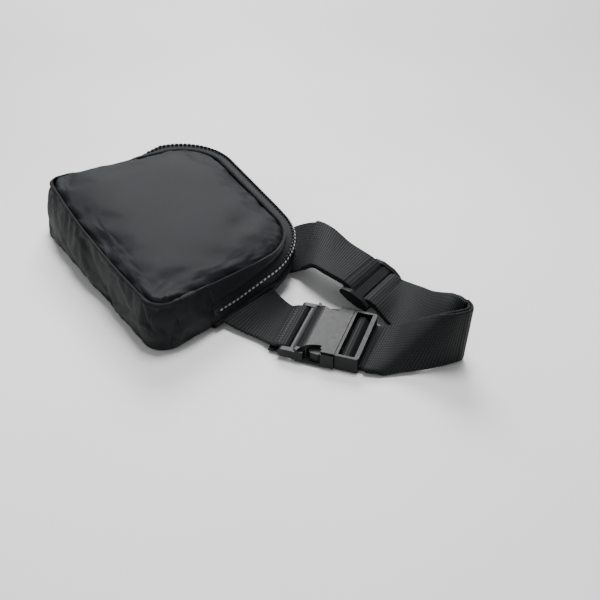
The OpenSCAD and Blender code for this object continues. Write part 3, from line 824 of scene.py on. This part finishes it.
UNDER_ROUTE = [[14.4, 38.5, 2.9, 134, 0], [4, 30, 1.4, 132, 0], [-12, 19.5, 1.1, 122, 0],
               [-32, 11.5, 1.1, 108, 0], [-52, 8, 1.1, 96, 0], [-74, 7, 1.1, 90, 0],
               [-84, 7, 1.1, 90, 0], [-86.6, 7, 1.6, 90, 0], [-87.6, 7, 2.7, 90, 0],
               [-86.6, 7, 3.8, 90, 0], [-84, 7, 4.3, 90, 0], [-80.6, 7, 4.6, 90, 0]]
WAVE_ROUTE = [adj_at(-12.6, WAVE_TOP), adj_at(-10.2, WAVE_TOP), adj_at(-8, WAVE_TOP),
              adj_at(-6.3, WAVE_TOP - 0.4), adj_at(-4.3, 0), adj_at(-2.6, WAVE_LOW + 0.2),
              adj_at(0, WAVE_LOW), adj_at(2.6, WAVE_LOW + 0.2), adj_at(4.3, 0),
              adj_at(6.3, WAVE_TOP - 0.4), adj_at(8, WAVE_TOP), adj_at(10.2, WAVE_TOP),
              adj_at(12.6, WAVE_TOP)]
STEP = 0.38     # distance between the rings of a belt's mesh


def route_line(stations, before=None, after=None):
    """A fine smooth line along a route: centres and directions of the width. before and
    after are the neighbouring stations of the same belt, which it runs on into smoothly."""
    v = [stations[0] if before is None else before, *stations,
         stations[-1] if after is None else after]
    v = np.array([[*s[:3], *polar(s[3], s[4])] for s in v])
    out = []
    for i in range(len(v) - 3):
        a, b, c, d = v[i:i + 4]
        for t in np.linspace(0, 1, 24, endpoint=False):
            out.append(0.5 * (2 * b + (c - a) * t + (2 * a - 5 * b + 4 * c - d) * t * t
                              + (3 * b - a - 3 * c + d) * t ** 3))
    out.append(v[-2])
    out = np.array(out)
    run = distance_along(out[:, :3])
    n = max(4, int(run[-1] / STEP))
    s = np.linspace(0, run[-1], n + 1)
    fine = np.stack([np.interp(s, run, out[:, k]) for k in range(6)], axis=1)
    centre, width = fine[:, :3], fine[:, 3:]
    along = np.gradient(centre, axis=0)
    along /= np.linalg.norm(along, axis=1, keepdims=True)
    width /= np.linalg.norm(width, axis=1, keepdims=True)
    up = np.cross(along, width)
    up /= np.linalg.norm(up, axis=1, keepdims=True)
    return centre, width, up, s


def section(width, thick):
    """Half-section points (across, up) of a belt: flat faces with rolled woven edges."""
    half, r = width / 2, thick / 2
    across = np.linspace(-half + 1.1, half - 1.1, 17)
    top = [(x, r) for x in across]
    edge = [(half - 0.45, r * 0.93), (half - 0.1, r * 0.55), (half, 0), (half - 0.1, -r * 0.55),
            (half - 0.45, -r * 0.93)]
    other = [(-x, -y) for x, y in edge]
    low = [(x, -r) for x in across[::-1]]
    return np.array(top + edge + low + other)


def webbing(name, route, node, body, lift=0.0, seed=0, blend=None, ends=()):
    centre, across, up, run = route_line(route, *ends)
    plan = section(WEB_W, WEB_T - 0.2)
    rings = []
    for k, s in enumerate(run):
        wave = 0.5 + 0.5 * math.cos(2 * math.pi * s / RIB)
        edge_wave = 0.12 * math.cos(2 * math.pi * s / RIB + 1.5)
        slow = 0.15 * ripple(s, seed, 0, 14)
        x, y = plan[:, 0], plan[:, 1]
        face = np.sign(y) * (np.abs(y) > 0.5) * (0.16 * wave)
        spread = x * (1 + (edge_wave + slow) * 2 / WEB_W)
        rings.append(centre[k] + np.outer(spread, across[k]) + np.outer(y + face + lift, up[k]))
    n = len(plan)
    points = np.concatenate(rings)
    faces = [[k * n + j, k * n + (j + 1) % n, (k + 1) * n + (j + 1) % n, (k + 1) * n + j]
             for k in range(len(run) - 1) for j in range(n)]
    faces = [f[::-1] for f in faces]
    faces += [list(range(n)), [(len(run) - 1) * n + j for j in range(n)][::-1]]
    around = distance_along(plan)
    uv = np.stack([np.tile(around, len(run)), np.repeat(run, n)], axis=1)
    obj = piece(name, points, faces, BELT, uv)
    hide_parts(node)
    if blend:
        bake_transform(obj)
    else:
        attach(obj, body)
    return obj


EDGE_TO_STITCH = 2.2


def on_belt(route, s_mm):
    """A line across the upper face of a belt, s_mm along its route, and its normals."""
    centre, across, up, run = route_line(route)
    k = int(np.argmin(np.abs(run - s_mm)))
    half = WEB_W / 2 - EDGE_TO_STITCH
    v = np.linspace(-half, half, 30)
    points = centre[k] + np.outer(v, across[k]) + up[k] * (WEB_T / 2 - 0.05)
    return points, np.tile(up[k], (len(v), 1))


# ---------------------------------------------------------------- belt pieces
def belt_pieces():
    release = ("bag", "male_half", tuple(FOLD_ROUTE[0][k] * MM for k in range(3)),
               tuple(bk(15.5, 0, OUT_W) * MM))
    bag_side = tuple(np.array(ARCH_ROUTE[4][:3]) * MM)
    adj_near = tuple((ADJ_AT - ADJ_X * 15) * MM)
    adj_far = tuple((ADJ_AT + ADJ_X * 15) * MM)
    fold = tuple(np.array(FOLD_ROUTE[7][:3]) * MM)
    webbing("near_strap", NEAR_ROUTE, "near_strap", "bag", seed=1)
    webbing("male_webbing_outer", MALE_ROUTE[:7], "male_webbing_outer", "male_half", seed=2,
            ends=(FRONT_ROUTE[1], MALE_ROUTE[7]))
    webbing("male_webbing_inner", MALE_ROUTE[6:], "male_webbing_inner", "male_half", seed=2,
            ends=(MALE_ROUTE[5], FRONT_ROUTE[1]))
    front = [bk_at(14.4, OUT_W)] + FRONT_ROUTE
    fold_back = FOLD_ROUTE[:-1] + [WAVE_ROUTE[-1]]
    arch = [WAVE_ROUTE[0]] + ARCH_ROUTE[1:]
    for layer, side, seed in (("outer", -1, 3), ("inner", 1, 4)):
        webbing(f"front_webbing_{layer}", front, f"front_webbing_{layer}", "bag", side * LAYER,
                seed=seed, blend=release, ends=(bk_at(11, OUT_W), FOLD_ROUTE[1]))
        webbing(f"return_webbing_{layer}", fold_back, f"return_webbing_{layer}", "bag",
                side * LAYER, seed=seed, blend=("bag", "adjuster", fold, adj_far),
                ends=(FRONT_ROUTE[-2], WAVE_ROUTE[-2]))
    webbing("adjuster_webbing_main", WAVE_ROUTE, "adjuster_webbing_main", "adjuster", -LAYER,
            seed=5, ends=(ARCH_ROUTE[1], FOLD_ROUTE[-2]))
    webbing("adjuster_webbing_tail", WAVE_ROUTE, "adjuster_webbing_tail", "adjuster", LAYER,
            seed=6, ends=(ARCH_ROUTE[1], FOLD_ROUTE[-2]))
    webbing("arched_webbing_main", arch, "arched_webbing_main", "bag", LAYER, seed=7,
            blend=("bag", "adjuster", bag_side, adj_near), ends=(WAVE_ROUTE[1], UNDER_ROUTE[1]))
    webbing("arched_webbing_tail", arch[:4], "arched_webbing_tail", "bag", -LAYER, seed=8,
            blend=("bag", "adjuster", bag_side, adj_near), ends=(WAVE_ROUTE[1], arch[4]))
    webbing("under_webbing", UNDER_ROUTE, "under_webbing", "bag", seed=9,
            ends=(ARCH_ROUTE[-2], None))


def belt_stitches():
    for k, s in enumerate((29.5, 31.8)):
        p, n = on_belt(NEAR_ROUTE, s)
        stitch_row(f"strap_stitches_{k}", p, n, "bag")


# ---------------------------------------------------------------- hard pieces
def round_edges(obj, width, segments=3, angle=32):
    """Softens a CAD piece's edges with a modifier; its mesh stays as it is."""
    bevel = obj.modifiers.new("round", "BEVEL")
    bevel.width = width * MM
    bevel.segments = segments
    bevel.limit_method = "ANGLE"
    bevel.angle_limit = math.radians(angle)
    bevel.use_clamp_overlap = True
    bevel.harden_normals = True


def paint(node, material):
    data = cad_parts[node].data
    if not data.materials:
        data.materials.append(material)
    for k in range(len(data.materials)):
        data.materials[k] = material


def hard_pieces():
    for node, material, width in (("buckle_female", BUCKLE, 0.7), ("buckle_male", BUCKLE, 0.6),
                                  ("prong_near", BUCKLE, 0.5), ("prong_far", BUCKLE, 0.5),
                                  ("adjuster", ADJUSTER, 0.5), ("zip_slider", METAL, 0.2),
                                  ("slider_bridge", METAL, 0.1), ("pull_tab", METAL, 0.3),
                                  ("end_stop_near", METAL, 0.2), ("back_panel", LINING, 0.3),
                                  ("back_seam_binding", BINDING, 0.2)):
        paint(node, material)
        round_edges(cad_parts[node], width)


# ---------------------------------------------------------------- assembly
panel = front_panel()
on_flap(panel)
bottom_gusset()
zip_strip_lower()
zip_sides()
ZIP_END = ZIP_RUN[-1] - 8
FLAP_END = float(np.interp(HINGE_FAR, ZIP_STATIONS, ZIP_RUN))
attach(tooth_row("zip_teeth_lower", -1, 4, ZIP_END, "zip_teeth_lower"), "bag")
on_flap(tooth_row("zip_teeth_upper", 1, 4, FLAP_END - 1, "zip_teeth_upper"))
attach(tooth_row("zip_teeth_closed_end", 1, FLAP_END + 1, ZIP_END), "bag")
belt_pieces()
belt_stitches()
hard_pieces()


# ---------------------------------------------------------------- stage, light and camera
def stage():
    data = bpy.data.meshes.new("floor")
    size, drop = 3.0, -0.0004
    data.from_pydata([(-size, -size, drop), (size, -size, drop), (size, size, drop),
                      (-size, size, drop)], [], [(0, 1, 2, 3)])
    floor = bpy.data.objects.new("floor", data)
    bpy.context.scene.collection.objects.link(floor)
    m = Material("floor_paper", 0.75, Specular_IOR_Level=0.25)
    at = m.place()
    m.colour(m.ramp(m.noise(at, 0.004, 2), srgb("dcdddc"), srgb("e6e6e5"), 0.3, 0.7))
    m.bump(m.noise(at, 0.8, 3), 0.05, 0.1)
    data.materials.append(m.data)


def area_light(name, at, target, size, power, colour=(1, 1, 1)):
    data = bpy.data.lights.new(name, "AREA")
    data.shape = "RECTANGLE"
    data.size, data.size_y = size
    data.energy = power
    data.color = colour
    obj = bpy.data.objects.new(name, data)
    obj.location = at
    obj.rotation_euler = (Vector(target) - Vector(at)).to_track_quat("-Z", "Y").to_euler()
    bpy.context.scene.collection.objects.link(obj)


def camera():
    at = Vector((438.29, -192.35, 324.14)) * MM
    look = Vector((-0.6728, 0.4303, -0.6018))
    data = bpy.data.cameras.new("camera")
    data.lens, data.sensor_width = 54, 36
    data.clip_start = 0.01
    obj = bpy.data.objects.new("camera", data)
    obj.location = at
    obj.rotation_euler = look.to_track_quat("-Z", "Y").to_euler()
    bpy.context.scene.collection.objects.link(obj)
    bpy.context.scene.camera = obj


def spot_light(name, at, target, cone, power, radius):
    data = bpy.data.lights.new(name, "SPOT")
    data.energy = power
    data.spot_size = math.radians(cone)
    data.spot_blend = 1
    data.shadow_soft_size = radius
    obj = bpy.data.objects.new(name, data)
    obj.location = at
    obj.rotation_euler = (Vector(target) - Vector(at)).to_track_quat("-Z", "Y").to_euler()
    bpy.context.scene.collection.objects.link(obj)


def lights():
    centre = (0.04, 0.02, 0.02)
    area_light("window", (-0.75, 0.45, 0.85), centre, (0.6, 0.6), 22)
    spot_light("top", (0.0, 0.15, 1.3), (0.09, 0.0, 0), 46, 80, 0.25)
    area_light("fill", (0.7, -0.8, 0.7), centre, (1.4, 1.0), 3.5)
    world = bpy.data.worlds.new("studio")
    world.use_nodes = True
    world.node_tree.nodes["Background"].inputs["Color"].default_value = (0.86, 0.87, 0.88, 1)
    world.node_tree.nodes["Background"].inputs["Strength"].default_value = 0.4
    bpy.context.scene.world = world


stage()
lights()
camera()
